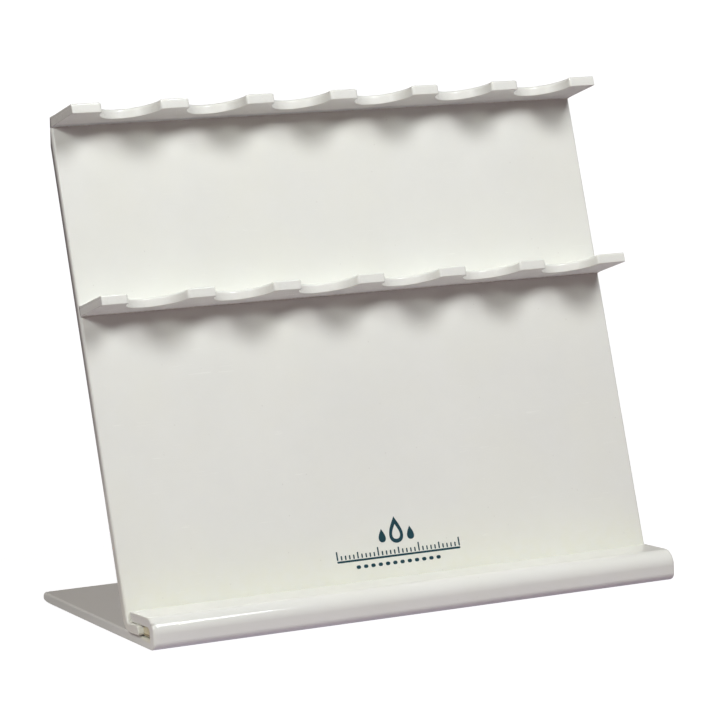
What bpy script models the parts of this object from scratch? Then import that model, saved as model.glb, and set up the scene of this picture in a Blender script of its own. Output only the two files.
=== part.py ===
"""Six-place pipette stand in white acrylic sheet.

A flat base whose front edge is folded up and back over itself into a low
channel, a leaning back panel whose bottom edge is folded forward into that
channel, and two notched shelves that stand square to the panel.  Everything
is held by solvent cement, so the stand has no moving piece.

Frame: X along the width, Y towards the back, Z up.  The origin is at the
centre of the footprint, on the table.  Lengths below are in millimetres and
are turned into metres by mm().
"""

import math

import bmesh
import bpy
from mathutils import Matrix

# ---------------------------------------------------------------- dimensions
WIDTH = 300.0            # panel and shelves, along X
SHEET = 4.8              # base and panel sheet
SHELF_SHEET = 5.0        # shelf strips
LEAN_DEG = 17.4          # panel leans back from vertical

POLISH = 0.45            # flame-polished rounding of every cut edge
SHARP_ANGLE = math.radians(35)   # edges sharper than this are polished, and shaded sharp
JOINT = 0.15             # clearance between neighbouring pieces
FILM = 0.2               # cement film thickness inside a shelf joint
FILM_JOINT = JOINT + FILM + JOINT

# Base and its folded lip
BASE_WIDTH = 298.0                      # the base is cut a little short...
BASE_SHIFT = (WIDTH - BASE_WIDTH) / 2   # ...and sits flush with the panel's right end
BASE_DEPTH = 132.0
BASE_CORNER_R = 1.6
LIP_HEIGHT = 15.4        # top of the folded lip, near its front
LIP_REAR_HEIGHT = 14.7   # top of the lip where the panel meets it
LIP_TOP_R = 7.5          # outer radius, front top
LIP_BOTTOM_R = 4.6       # outer radius, front bottom
LIP_INNER_BOTTOM_R = 1.2
LIP_REAR_UNDERCUT = 0.6  # the lip's lower rear corner, in front of its rounded end

# Panel and its folded foot; distances along Y are from the lip's front
PANEL_Y = 27.6           # panel's front face at the lip's rear edge
PANEL_LENGTH = 241.15    # along the panel, from the lip to the top shelf's underside
BEND_R = 3.0             # inner radius of the panel's bottom bend
FOOT_TIP_TOP = 15.5      # foot's front end, at its top
FOOT_TIP_BOTTOM = 12.5   # foremost limit of the foot's front end, near its bottom
TRIM_Y = 101.3           # upright trimmed face behind the top shelf

# Shelves
TOP_PROJECTION = 27.4    # square to the panel
MIDDLE_PROJECTION = 27.8
MIDDLE_LENGTH = 145.9    # along the panel, from the lip to the shelf's underside
TOP_SHELF_REAR = 12.0    # behind the panel's front face, before trimming
NOTCHES = 6
NOTCH_PITCH = 47.4
NOTCH_R = 15.8
NOTCH_SETBACK = 1.1      # seat's centre behind the shelf's front edge
NOTCH_CORNER_R = 1.6
NOTCH_SEGMENTS = 28
TOP_ROW_SHIFT = 0.5      # the rows of notches are not quite centred
MIDDLE_ROW_SHIFT = -1.2

# Cement
FILL_GAP = JOINT + 0.05  # between the channel's walls and the cement in it
FILL_WIDTH = BASE_WIDTH - 1.0
FILM_END_INSET = 1.0     # film's ends inside the shelf's ends
FILM_EDGE_INSET = 0.1    # top film's long edges inside the panel's top edge

# Cutters
PLAN_CLEARANCE = 0.02    # beyond the base's sides, so that only the corners are cut
PLAN_FRONT_MARGIN = 10.0
PLAN_SIDE_MARGIN = 5.0   # extra width of the plan's front half
PLAN_HEIGHT = 60.0
PLAN_Z = 10.0
TRIM_MARGIN = 20.0       # beyond each end of the panel
TRIM_DEPTH = 60.0
TRIM_HEIGHT = 90.0

COLLECTION = "pipette_stand"

ACRYLIC = (0.86, 0.86, 0.82, 1.0)
CEMENT = (0.62, 0.56, 0.34, 1.0)
CLEAR_CEMENT = (0.80, 0.79, 0.70, 1.0)

# ---------------------------------------------------------------- derived geometry
LEAN = math.radians(LEAN_DEG)
SIN, COS, TAN = math.sin(LEAN), math.cos(LEAN), math.tan(LEAN)

# The lip's top falls gently towards the panel.
LIP_SLOPE = math.atan2(LIP_HEIGHT - LIP_REAR_HEIGHT, PANEL_Y - LIP_TOP_R)
LIP_FALL = math.tan(LIP_SLOPE)
LIP_TOP_DEG = 90 - math.degrees(LIP_SLOPE)      # where the front curve meets that top
LIP_THICKNESS = SHEET / math.cos(LIP_SLOPE)     # measured upright

FOOT_BOTTOM = SHEET + JOINT
FOOT_TOP = FOOT_BOTTOM + SHEET
BEND_Z = FOOT_TOP + BEND_R
BEND_CENTRE = (PANEL_Y + (BEND_Z - LIP_REAR_HEIGHT) * TAN - BEND_R / COS, BEND_Z)


def mm(value):
    return value / 1000.0


def y_of(value):
    """A distance behind the lip's front, as a Y coordinate about the footprint's centre."""
    return value - BASE_DEPTH / 2


def centred(profile):
    """A profile drawn from the lip's front, moved to the footprint's centre."""
    return [(y_of(y), z) for y, z in profile]


# ---------------------------------------------------------------- outlines
def arc(centre, radius, start_deg, end_deg, steps):
    """Points along an arc about centre, both ends included."""
    points = []
    for i in range(steps + 1):
        angle = math.radians(start_deg + (end_deg - start_deg) * i / steps)
        points.append((centre[0] + radius * math.cos(angle),
                       centre[1] + radius * math.sin(angle)))
    return points


def base_profile():
    """Base with its folded lip, in (Y, Z), from the rear edge round the lip and back."""
    top_centre = (LIP_TOP_R, LIP_HEIGHT - LIP_TOP_R)
    bottom_centre = (LIP_BOTTOM_R, LIP_BOTTOM_R)
    inner_bottom = SHEET + LIP_INNER_BOTTOM_R

    points = [(BASE_DEPTH, 0.0)]
    points += arc(bottom_centre, LIP_BOTTOM_R, 270, 180, steps=8)
    points += arc(top_centre, LIP_TOP_R, 180, LIP_TOP_DEG, steps=14)
    top_y, top_z = points[-1]

    def lip_top(y):
        return top_z - (y - top_y) * LIP_FALL

    # The sloping top ends where it meets the line parallel to the panel's front
    # face and one clearance in front of it, then turns under along the panel's bend.
    rear_y = (
        PANEL_Y - JOINT / COS + (lip_top(0.0) - LIP_REAR_HEIGHT) * TAN
    ) / (1 + LIP_FALL * TAN)
    points.append((rear_y, lip_top(rear_y)))
    points += arc(BEND_CENTRE, BEND_R - JOINT, -LEAN_DEG, -80, steps=5)
    under_y = points[-1][0] - LIP_REAR_UNDERCUT
    points.append((under_y, lip_top(under_y) - LIP_THICKNESS))

    # Inside of the channel, down to the base's upper face
    points += arc(top_centre, LIP_TOP_R - SHEET, LIP_TOP_DEG, 180, steps=6)
    points += arc((inner_bottom, inner_bottom), LIP_INNER_BOTTOM_R, 180, 270, steps=5)
    points.append((BASE_DEPTH, SHEET))
    return centred(points)


def base_plan():
    """Plan of the base in (X, Y): rounded rear corners, oversize at the front."""
    half = BASE_WIDTH / 2 + PLAN_CLEARANCE
    wide = half + PLAN_SIDE_MARGIN
    front = -BASE_DEPTH / 2 - PLAN_FRONT_MARGIN
    corner_x, corner_y = half - BASE_CORNER_R, BASE_DEPTH / 2 - BASE_CORNER_R
    points = [(-wide, front), (wide, front), (wide, 0.0), (half, 0.0)]
    points += arc((corner_x, corner_y), BASE_CORNER_R, 0, 90, steps=8)
    points += arc((-corner_x, corner_y), BASE_CORNER_R, 90, 180, steps=8)
    points += [(-half, 0.0), (-wide, 0.0)]
    return points


def panel_profile():
    """Back panel with its folded foot, in (Y, Z)."""
    length = PANEL_LENGTH - FILM_JOINT
    top_front = (PANEL_Y + length * SIN, LIP_REAR_HEIGHT + length * COS)
    top_back = (top_front[0] + SHEET * COS, top_front[1] - SHEET * SIN)

    points = [top_front]
    points += arc(BEND_CENTRE, BEND_R, -LEAN_DEG, -90, steps=8)
    # The foot's uneven front end, from top to bottom
    points += [
        (FOOT_TIP_TOP, FOOT_TOP),
        (FOOT_TIP_TOP - 1.4, FOOT_TOP - 0.9),
        (FOOT_TIP_BOTTOM + 0.4, FOOT_BOTTOM + 1.2),
        (FOOT_TIP_BOTTOM + 0.6, FOOT_BOTTOM),
    ]
    points += arc(BEND_CENTRE, BEND_R + SHEET, -90, -LEAN_DEG, steps=14)
    points.append(top_back)
    return centred(points)


def lip_cement_profile():
    """Hardened cement in the front of the channel, in (Y, Z)."""
    wall = SHEET + FILL_GAP      # the fill's front, and also its bottom
    rear_top = FOOT_TIP_TOP - 2.2

    def ceiling(y):
        return LIP_HEIGHT - LIP_THICKNESS - (y - LIP_TOP_R) * LIP_FALL - FILL_GAP

    return centred([
        # up along the foot's front end
        (FOOT_TIP_BOTTOM + 0.3, wall),
        (FOOT_TIP_BOTTOM + 0.1, FOOT_BOTTOM + 1.2),
        (FOOT_TIP_TOP - 1.75, FOOT_TOP - 0.8),
        # forward under the lip
        (rear_top, ceiling(rear_top) - 0.25),
        (LIP_TOP_R, ceiling(LIP_TOP_R) - 0.05),
        # down the channel's front wall and round its bottom corner
        (wall + 0.75, LIP_HEIGHT - LIP_TOP_R + 1.9),
        (wall, LIP_HEIGHT - LIP_TOP_R),
        (wall, wall + LIP_INNER_BOTTOM_R),
        (wall + 0.4 * LIP_INNER_BOTTOM_R, wall + 0.4 * LIP_INNER_BOTTOM_R),
        (wall + LIP_INNER_BOTTOM_R, wall),
    ])


def shelf_outline(projection, row_shift, rear):
    """Notched strip in its own plane: X along the shelf, Y towards the panel."""
    front = -projection
    corner_y = front + NOTCH_CORNER_R
    reach = NOTCH_R + NOTCH_CORNER_R
    points = [(-WIDTH / 2, rear), (-WIDTH / 2, front)]
    for i in range(NOTCHES):
        x = row_shift + (i - (NOTCHES - 1) / 2) * NOTCH_PITCH
        seat = arc((x, front + NOTCH_SETBACK), NOTCH_R, 180, 0, NOTCH_SEGMENTS)
        points += arc((x - reach, corner_y), NOTCH_CORNER_R, 270, 360, steps=4)
        # The seat's ends lie in front of the rounded corners' ends, so they are left out.
        points += seat[1:-1]
        points += arc((x + reach, corner_y), NOTCH_CORNER_R, 180, 270, steps=4)
    points += [(WIDTH / 2, front), (WIDTH / 2, rear)]
    return points


# ---------------------------------------------------------------- scene helpers
def clear_scene():
    for obj in list(bpy.data.objects):
        bpy.data.objects.remove(obj, do_unlink=True)


def new_collection(name):
    collection = bpy.data.collections.new(name)
    bpy.context.scene.collection.children.link(collection)
    return collection


def new_material(name, colour, roughness):
    material = bpy.data.materials.new(name)
    material.use_nodes = True
    shader = material.node_tree.nodes["Principled BSDF"]
    shader.inputs["Base Color"].default_value = colour
    shader.inputs["Roughness"].default_value = roughness
    shader.inputs["Metallic"].default_value = 0.0
    material.diffuse_color = colour
    return material


def extruded(name, outline, length, collection, material=None):
    """A flat outline drawn as a 2D curve, given its thickness, as a welded mesh object."""
    curve = bpy.data.curves.new(name + "_outline", "CURVE")
    curve.dimensions = "2D"
    curve.fill_mode = "BOTH"
    curve.extrude = mm(length) / 2
    spline = curve.splines.new("POLY")
    spline.points.add(len(outline) - 1)
    for point, (x, y) in zip(spline.points, outline):
        point.co = (mm(x), mm(y), 0.0, 1.0)
    spline.use_cyclic_u = True
    drawn = bpy.data.objects.new(name + "_outline", curve)
    collection.objects.link(drawn)
    bpy.context.view_layer.update()
    mesh = bpy.data.meshes.new_from_object(
        drawn.evaluated_get(bpy.context.evaluated_depsgraph_get())
    )
    bpy.data.objects.remove(drawn, do_unlink=True)

    # Weld the caps to the sides and merge the flat faces.
    bm = bmesh.new()
    bm.from_mesh(mesh)
    bmesh.ops.remove_doubles(bm, verts=bm.verts, dist=1e-6)
    bmesh.ops.dissolve_limit(
        bm, angle_limit=math.radians(0.5), verts=bm.verts, edges=bm.edges
    )
    bmesh.ops.recalc_face_normals(bm, faces=bm.faces)
    bm.to_mesh(mesh)
    bm.free()
    mesh.name = name
    mesh.materials.clear()
    if material:
        mesh.materials.append(material)
    obj = bpy.data.objects.new(name, mesh)
    collection.objects.link(obj)
    return obj


def box(name, size, collection, material=None):
    """A box about its own origin, with its sizes along X, Y and Z."""
    bpy.ops.mesh.primitive_cube_add(size=1.0)
    obj = bpy.context.object
    obj.name = name
    for owner in list(obj.users_collection):
        owner.objects.unlink(obj)
    collection.objects.link(obj)
    obj.data.transform(Matrix.Diagonal([mm(side) for side in size] + [1.0]))
    if material:
        obj.data.materials.append(material)
    return obj


def along_width(obj, x=0.0):
    """Stands a (Y, Z) profile up so that its length runs along X."""
    obj.rotation_euler = (math.radians(90), 0.0, math.radians(90))
    obj.location = (mm(x), 0.0, 0.0)


def on_panel(obj, guide, height, y=0.0):
    """Places a piece up along the panel, and y behind its front face."""
    obj.parent = guide
    obj.location = (0.0, mm(y), mm(height))


def cut(obj, cutter, operation="DIFFERENCE"):
    boolean = obj.modifiers.new(cutter.name, "BOOLEAN")
    boolean.operation = operation
    boolean.object = cutter
    boolean.solver = "EXACT"


def polish(obj):
    """Rounded cut edges, as a flame-polished sheet has."""
    bevel = obj.modifiers.new("polished_edges", "BEVEL")
    bevel.width = mm(POLISH)
    bevel.segments = 2
    bevel.limit_method = "ANGLE"
    bevel.angle_limit = SHARP_ANGLE
    bevel.use_clamp_overlap = True
    bevel.harden_normals = False


def smooth(obj):
    obj.data.shade_smooth()
    obj.data.set_sharp_from_angle(angle=SHARP_ANGLE)


def hide(cutter):
    cutter.hide_render = True
    cutter.display_type = "WIRE"


# ---------------------------------------------------------------- pieces
def add_base(parts, cutters):
    """Base extruded along the width, with its rear corners rounded in plan."""
    material = new_material("white_acrylic_base", ACRYLIC, roughness=0.16)
    base = extruded("base_plate", base_profile(), BASE_WIDTH, parts, material)
    along_width(base, BASE_SHIFT)

    plan = extruded("base_plan", base_plan(), PLAN_HEIGHT, cutters)
    plan.location = (mm(BASE_SHIFT), 0.0, mm(PLAN_Z))
    hide(plan)
    cut(base, plan, "INTERSECT")
    polish(base)
    smooth(base)


def add_trim(cutters):
    """The upright cut that trims the panel and the top shelf together."""
    size = (WIDTH + 2 * TRIM_MARGIN, TRIM_DEPTH, TRIM_HEIGHT)
    trim = box("rear_trim", size, cutters)
    trim.location = (
        0.0,
        mm(y_of(TRIM_Y) + TRIM_DEPTH / 2),
        mm(LIP_REAR_HEIGHT + PANEL_LENGTH * COS),
    )
    hide(trim)
    return trim


def add_panel(parts, trim):
    material = new_material("white_acrylic_panel", ACRYLIC, roughness=0.2)
    panel = extruded("back_panel", panel_profile(), WIDTH, parts, material)
    along_width(panel)
    cut(panel, trim)
    polish(panel)
    smooth(panel)


def add_guide(parts):
    """Empty on the panel's front face at the lip: Y into the panel, Z up along it."""
    guide = bpy.data.objects.new("panel_face", None)
    parts.objects.link(guide)
    guide.location = (0.0, mm(y_of(PANEL_Y)), mm(LIP_REAR_HEIGHT))
    guide.rotation_euler = (-LEAN, 0.0, 0.0)
    return guide


def add_shelf(place, outline, height, parts, guide, trim=None):
    """A notched shelf whose underside is at height along the panel."""
    material = new_material(f"white_acrylic_{place}_shelf", ACRYLIC, roughness=0.16)
    shelf = extruded(f"{place}_shelf", outline, SHELF_SHEET, parts, material)
    on_panel(shelf, guide, height + SHELF_SHEET / 2)
    if trim:
        cut(shelf, trim)
    polish(shelf)
    smooth(shelf)


def add_lip_cement(parts):
    material = new_material("aged_cement", CEMENT, roughness=0.4)
    fill = extruded("lip_cement", lip_cement_profile(), FILL_WIDTH, parts, material)
    along_width(fill, BASE_SHIFT)
    smooth(fill)


def add_film(place, depth, thickness, height, y, parts, guide):
    """Cement film in a shelf joint, centred at height and y in the guide's frame."""
    material = new_material(f"cement_film_{place}", CLEAR_CEMENT, roughness=0.3)
    size = (WIDTH - 2 * FILM_END_INSET, depth, thickness)
    film = box(f"{place}_shelf_cement", size, parts, material)
    on_panel(film, guide, height, y)


def build():
    clear_scene()
    parts = new_collection(COLLECTION)
    cutters = new_collection(COLLECTION + "_cutters")

    add_base(parts, cutters)
    trim = add_trim(cutters)
    add_panel(parts, trim)
    guide = add_guide(parts)

    # The top shelf lies over the panel's end; the middle one butts against its face.
    top_outline = shelf_outline(TOP_PROJECTION, TOP_ROW_SHIFT, TOP_SHELF_REAR)
    add_shelf("top", top_outline, PANEL_LENGTH, parts, guide, trim)
    middle_outline = shelf_outline(MIDDLE_PROJECTION, MIDDLE_ROW_SHIFT, -FILM_JOINT)
    add_shelf("middle", middle_outline, MIDDLE_LENGTH, parts, guide)

    add_lip_cement(parts)

    # The panel's trimmed top edge is narrow, and the film covers it.
    edge_depth = (TRIM_Y - (PANEL_Y + PANEL_LENGTH * SIN)) / COS
    add_film(
        "top", depth=edge_depth - 2 * FILM_EDGE_INSET, thickness=FILM,
        height=PANEL_LENGTH - JOINT - FILM / 2, y=edge_depth / 2,
        parts=parts, guide=guide,
    )
    add_film(
        "middle", depth=FILM, thickness=SHELF_SHEET - 2 * POLISH,
        height=MIDDLE_LENGTH + SHELF_SHEET / 2, y=-JOINT - FILM / 2,
        parts=parts, guide=guide,
    )

    bpy.context.view_layer.update()


build()
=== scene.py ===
# Six-place pipette stand in white acrylic: a base plate folded up into a lip at
# the front, a panel leaning backwards out of the lip, and two notched shelves
# standing out from the panel's front face.
#
# X runs along the width, -Y is the front and +Z is up, with the base on z = 0.
# Lengths are in millimetres and mm() turns them into metres.  Outlines of the
# base, panel and channel cement are (y, z) sections carried along X; those of
# the shelves are (x, y) plans in the panel's own frame.

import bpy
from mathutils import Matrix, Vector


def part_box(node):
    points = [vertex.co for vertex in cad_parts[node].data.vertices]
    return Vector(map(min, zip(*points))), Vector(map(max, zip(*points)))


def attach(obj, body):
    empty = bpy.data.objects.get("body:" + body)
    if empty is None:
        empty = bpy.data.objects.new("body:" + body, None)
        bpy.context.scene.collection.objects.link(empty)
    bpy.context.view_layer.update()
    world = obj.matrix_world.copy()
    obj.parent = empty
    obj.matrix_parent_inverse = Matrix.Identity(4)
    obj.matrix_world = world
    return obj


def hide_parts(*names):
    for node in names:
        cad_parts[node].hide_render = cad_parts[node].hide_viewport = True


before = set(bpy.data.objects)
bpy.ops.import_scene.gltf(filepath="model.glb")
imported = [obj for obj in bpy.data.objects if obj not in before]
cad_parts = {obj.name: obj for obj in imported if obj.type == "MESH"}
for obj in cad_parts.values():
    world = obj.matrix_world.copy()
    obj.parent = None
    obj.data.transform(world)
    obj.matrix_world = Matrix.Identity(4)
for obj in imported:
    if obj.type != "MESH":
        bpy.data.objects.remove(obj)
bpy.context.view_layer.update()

import math
from functools import reduce

import bmesh
import bpy
from mathutils import Matrix, Vector, noise

scene = bpy.context.scene


def mm(value):
    return value / 1000.0


# ------------------------------------------------------------------ dimensions
panel_lo, panel_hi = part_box("back_panel")
base_lo, base_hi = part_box("base_plate")

WIDTH = (panel_hi.x - panel_lo.x) * 1000
HALF = WIDTH / 2
BASE_LEFT, BASE_RIGHT = base_lo.x * 1000, base_hi.x * 1000
BASE_DEPTH = (base_hi.y - base_lo.y) * 1000
FRONT = base_lo.y * 1000  # Y of the lip's front face
SHEET, SHELF_SHEET = 4.8, 5.0  # thicknesses
LEAN_DEG = 17.4

# Base plate and lip
BASE_CORNER_R = 1.6  # rear corners, in plan
BASE_CORNER_RUN = 8.0  # depth over which those corners are drawn in
REAR_BOTTOM_R, REAR_TOP_R = 1.5, 1.9  # rear edge, in section
LIP_HEIGHT, LIP_REAR_HEIGHT = 15.4, 14.7
LIP_TOP_R, LIP_BOTTOM_R, LIP_INNER_BOTTOM_R = 7.5, 4.2, 1.2
LIP_END_R = 0.9  # the lip's free edge
PLATE_STATIONS = [34.0, 46.0, 60.0, 76.0, 92.0, 108.0]  # distances behind the lip's front
PLATE_STATIONS += [BASE_DEPTH - BASE_CORNER_RUN, BASE_DEPTH - BASE_CORNER_RUN / 2]

# Panel and its foot, which lies in the lip's channel
PANEL_Y = 27.6  # the front face at the lip's height, behind the lip's front
PANEL_LENGTH, MIDDLE_LENGTH = 241.15, 145.9  # up the panel to each shelf's underside
BEND_R = 3.0
FOOT_TIP_TOP, FOOT_TIP_BOTTOM = 15.5, 12.5
PANEL_FRONT_EDGE_R, PANEL_BACK_EDGE_R = 1.35, 0.6
TRIM_Y = 101.3  # upright rear face of the panel's top and the top shelf
TRIM_DEPTH = 60.0

# Shelves
TOP_PROJECTION, MIDDLE_PROJECTION = 27.4, 27.8
NOTCHES, NOTCH_PITCH, NOTCH_R, NOTCH_SETBACK = 6, 47.4, 15.8, 1.1
NOTCH_CORNER_R = 1.6
SHELF_CORNER_R = 0.55
TOP_ROW_SHIFT, MIDDLE_ROW_SHIFT = 0.5, -1.2
TOP_SHELF_REAR = 12.0  # runs back past the trimming cut

# Clearances
JOINT = 0.15  # round the parts in the lip's channel
FILM, TOUCH = 0.2, 0.015  # cement film under a shelf, and the gap on each side of it
SHELF_GAP = TOUCH + FILM + TOUCH

theta = math.radians(LEAN_DEG)
SIN, COS, TAN = math.sin(theta), math.cos(theta), math.tan(theta)
SLOPE = math.atan2(LIP_HEIGHT - LIP_REAR_HEIGHT, PANEL_Y - LIP_TOP_R)  # fall of the lip's top
SLOPE_DEG = math.degrees(SLOPE)
FOOT_TOP = SHEET + JOINT + SHEET
FOOT_BOTTOM = FOOT_TOP - SHEET
BEND_Z = FOOT_TOP + BEND_R
BEND_CENTRE = (PANEL_Y + (BEND_Z - LIP_REAR_HEIGHT) * TAN - BEND_R / COS, BEND_Z)


def y_of(value):
    """A distance behind the lip's front, as a Y coordinate."""
    return FRONT + value


# The panel's own frame: X along the width, Y into the panel, Z up along it.
ON_PANEL = Matrix.Translation(
    (0.0, mm(y_of(PANEL_Y)), mm(LIP_REAR_HEIGHT))
) @ Matrix.Rotation(-theta, 4, "X")

# ------------------------------------------------------------------ outlines


def arc(centre, radius, start_deg, end_deg, steps):
    points = []
    for i in range(steps + 1):
        angle = math.radians(start_deg + (end_deg - start_deg) * i / steps)
        points.append(
            (centre[0] + radius * math.cos(angle), centre[1] + radius * math.sin(angle))
        )
    return points


def placed(section):
    """A section drawn from the lip's front, moved to its Y."""
    return [(y_of(y), z) for y, z in section]


def base_profile():
    top_centre = (LIP_TOP_R, LIP_HEIGHT - LIP_TOP_R)
    bottom_centre = (LIP_BOTTOM_R, LIP_BOTTOM_R)
    outer = arc((BASE_DEPTH - REAR_BOTTOM_R, REAR_BOTTOM_R), REAR_BOTTOM_R, 0, -90, 8)
    outer += [(y, 0.0) for y in reversed(PLATE_STATIONS)]
    outer += arc(bottom_centre, LIP_BOTTOM_R, 270, 180, 20)
    outer += arc(top_centre, LIP_TOP_R, 180, 90 - SLOPE_DEG, 40)
    leg_top = outer[-1]

    def top_z(y):
        return leg_top[1] - (y - leg_top[0]) * math.tan(SLOPE)

    # the free edge stops one joint short of the leaning panel
    end_y = PANEL_Y
    for _ in range(20):
        end_y = PANEL_Y + (top_z(end_y) - LIP_REAR_HEIGHT) * TAN - JOINT / COS
    rear = arc((end_y - LIP_END_R, top_z(end_y) - 0.93), LIP_END_R, 88, 8, 7)
    rear += arc(BEND_CENTRE, BEND_R - JOINT, -LEAN_DEG, -80, 14)
    under_y = rear[-1][0] - 0.6
    rear.append((under_y, top_z(under_y) - SHEET / math.cos(SLOPE)))
    inner = arc(top_centre, LIP_TOP_R - SHEET, 90 - SLOPE_DEG, 180, 18)
    floor_centre = (SHEET + LIP_INNER_BOTTOM_R, SHEET + LIP_INNER_BOTTOM_R)
    inner += arc(floor_centre, LIP_INNER_BOTTOM_R, 180, 270, 10)
    edge = [(y, SHEET) for y in PLATE_STATIONS]
    edge += arc((BASE_DEPTH - REAR_TOP_R, SHEET - REAR_TOP_R), REAR_TOP_R, 90, 0, 10)
    return placed(outer + rear + inner + edge)


def panel_profile():
    length = PANEL_LENGTH - TOUCH - FILM - TOUCH
    top_front = (PANEL_Y + length * SIN, LIP_REAR_HEIGHT + length * COS)
    top_back = (top_front[0] + SHEET * COS, top_front[1] - SHEET * SIN)
    # the foot rises a little towards its tip, up against the lip
    tip = [
        (FOOT_TIP_TOP + 4.0, FOOT_TOP + 0.25),
        (FOOT_TIP_TOP, FOOT_TOP + 0.42),
        (FOOT_TIP_TOP - 0.8, FOOT_TOP + 0.12),
        (FOOT_TIP_TOP - 1.4, FOOT_TOP - 0.55),
        (FOOT_TIP_BOTTOM + 0.75, FOOT_BOTTOM + 2.9),
        (FOOT_TIP_BOTTOM + 0.35, FOOT_BOTTOM + 2.0),
        (FOOT_TIP_BOTTOM + 0.45, FOOT_BOTTOM + 1.45),
        (FOOT_TIP_BOTTOM + 1.1, FOOT_BOTTOM + 0.8),
        (FOOT_TIP_BOTTOM + 6.0, FOOT_BOTTOM + 0.32),
    ]
    inner = arc(BEND_CENTRE, BEND_R, -LEAN_DEG, -90, 22)
    outer = arc(BEND_CENTRE, BEND_R + SHEET, -90, -LEAN_DEG, 40)
    return placed([top_front] + inner + tip + outer + [top_back])


def cement_profile():
    """Hardened cement in the front of the channel, between the foot's tip and the lip."""
    gap = JOINT + 0.05
    inside = SHEET + gap  # both behind the lip's front wall and above the plate

    def underside(y):
        return LIP_HEIGHT - SHEET / math.cos(SLOPE) - (y - LIP_TOP_R) * math.tan(SLOPE) - gap

    return placed([
        (FOOT_TIP_BOTTOM + 0.6, FOOT_BOTTOM + 0.75),
        (FOOT_TIP_BOTTOM + 0.3, FOOT_BOTTOM + 1.35),
        (FOOT_TIP_BOTTOM + 0.2, FOOT_BOTTOM + 2.1),
        (FOOT_TIP_BOTTOM + 0.5, FOOT_BOTTOM + 3.0),
        (FOOT_TIP_TOP - 1.75, FOOT_TOP - 0.5),
        (FOOT_TIP_TOP - 2.2, underside(FOOT_TIP_TOP - 2.2) - 0.2),
        (LIP_TOP_R + 1.5, underside(LIP_TOP_R + 1.5) - 0.15),
        (LIP_TOP_R, underside(LIP_TOP_R) - 0.05),
        (inside + 0.75, LIP_HEIGHT - LIP_TOP_R + 1.9),
        (inside, LIP_HEIGHT - LIP_TOP_R),
        (inside, inside + 1.2),
        (inside + 0.5, inside + 0.75),
        (inside + 3.0, inside + 0.55),
    ])


def shelf_outline(projection, shift, rear):
    front = -projection
    side_y = (-1.0, -6.0)  # extra points on the two ends
    corner_y = front + NOTCH_CORNER_R
    reach = NOTCH_R + NOTCH_CORNER_R
    end_y = front + SHELF_CORNER_R
    points = [(-HALF, rear)] + [(-HALF, y) for y in side_y]
    points += arc((-HALF + SHELF_CORNER_R, end_y), SHELF_CORNER_R, 180, 270, 6)
    for i in range(NOTCHES):
        x = shift + (i - (NOTCHES - 1) / 2) * NOTCH_PITCH
        bowl = arc((x, front + NOTCH_SETBACK), NOTCH_R, 180, 0, 88)
        points += arc((x - reach, corner_y), NOTCH_CORNER_R, 270, 360, 8)
        points += [point for point in bowl if point[1] > corner_y + 0.25]
        points += arc((x + reach, corner_y), NOTCH_CORNER_R, 180, 270, 8)
    points += arc((HALF - SHELF_CORNER_R, end_y), SHELF_CORNER_R, 270, 360, 6)
    return points + [(HALF, y) for y in reversed(side_y)] + [(HALF, rear)]


# ------------------------------------------------------------------ mesh work


def mesh_object(name, bm):
    bmesh.ops.recalc_face_normals(bm, faces=bm.faces)
    mesh = bpy.data.meshes.new(name)
    bm.to_mesh(mesh)
    bm.free()
    obj = bpy.data.objects.new(name, mesh)
    scene.collection.objects.link(obj)
    return obj


def skin(bm, rings):
    """Joins each closed ring of vertices to the next with quads."""
    for one, two in zip(rings, rings[1:]):
        for i in range(len(one)):
            j = (i + 1) % len(one)
            bm.faces.new((one[i], one[j], two[j], two[i]))


def cap_ends(bm, rings):
    bm.faces.new(rings[0])
    bm.faces.new(list(reversed(rings[-1])))


def inward_normals(outline):
    """At each point, the way inwards that insets both neighbouring edges by 1."""
    count = len(outline)
    area = sum(
        outline[i - 1][0] * outline[i][1] - outline[i][0] * outline[i - 1][1]
        for i in range(count)
    )
    turn = 1.0 if area > 0 else -1.0
    normals = []
    for i in range(count):
        before, here, after = outline[i - 1], outline[i], outline[(i + 1) % count]
        one = Vector((before[1] - here[1], here[0] - before[0])).normalized() * turn
        two = Vector((here[1] - after[1], after[0] - here[0])).normalized() * turn
        normals.append((one + two) / (1.0 + one.dot(two)))
    return normals


def along_x(y, z, end):
    return end, y, z


def standing(x, y, end):
    return x, y, end


def rounded_prism(name, outline, low, high, place, rule):
    """An outline carried from low to high, with its end edges rounded.

    rule(a, b, inward, last) gives, at a point (a, b) of the outline, the two parts
    of the end face's inset and the distance over which the rounding runs out;
    last is true at the high end."""
    steps = 7
    normals = inward_normals(outline)
    bm = bmesh.new()
    ends = []
    for end, sign, last in ((low, 1.0, False), (high, -1.0, True)):
        insets = [rule(a, b, inward, last) for (a, b), inward in zip(outline, normals)]
        rings = []
        for k in range(steps + 1):
            turned = math.radians(90.0 * k / steps)
            share, run = 1.0 - math.sin(turned), 1.0 - math.cos(turned)
            ring = []
            for (a, b), (move_a, move_b, length) in zip(outline, insets):
                at = place(a + move_a * share, b + move_b * share, end + sign * length * run)
                ring.append(bm.verts.new([mm(c) for c in at]))
            rings.append(ring)
        ends.append(rings)
    rings = ends[0] + list(reversed(ends[1]))
    skin(bm, rings)
    cap_ends(bm, rings)
    return mesh_object(name, bm)


def between(value, low, high):
    """0 below low, 1 above high, smooth in between."""
    t = min(1.0, max(0.0, (value - low) / (high - low)))
    return t * t * (3 - 2 * t)


def cut_away(obj, cutter):
    boolean = obj.modifiers.new("cut", "BOOLEAN")
    boolean.operation = "DIFFERENCE"
    boolean.object = cutter
    boolean.solver = "EXACT"


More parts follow.
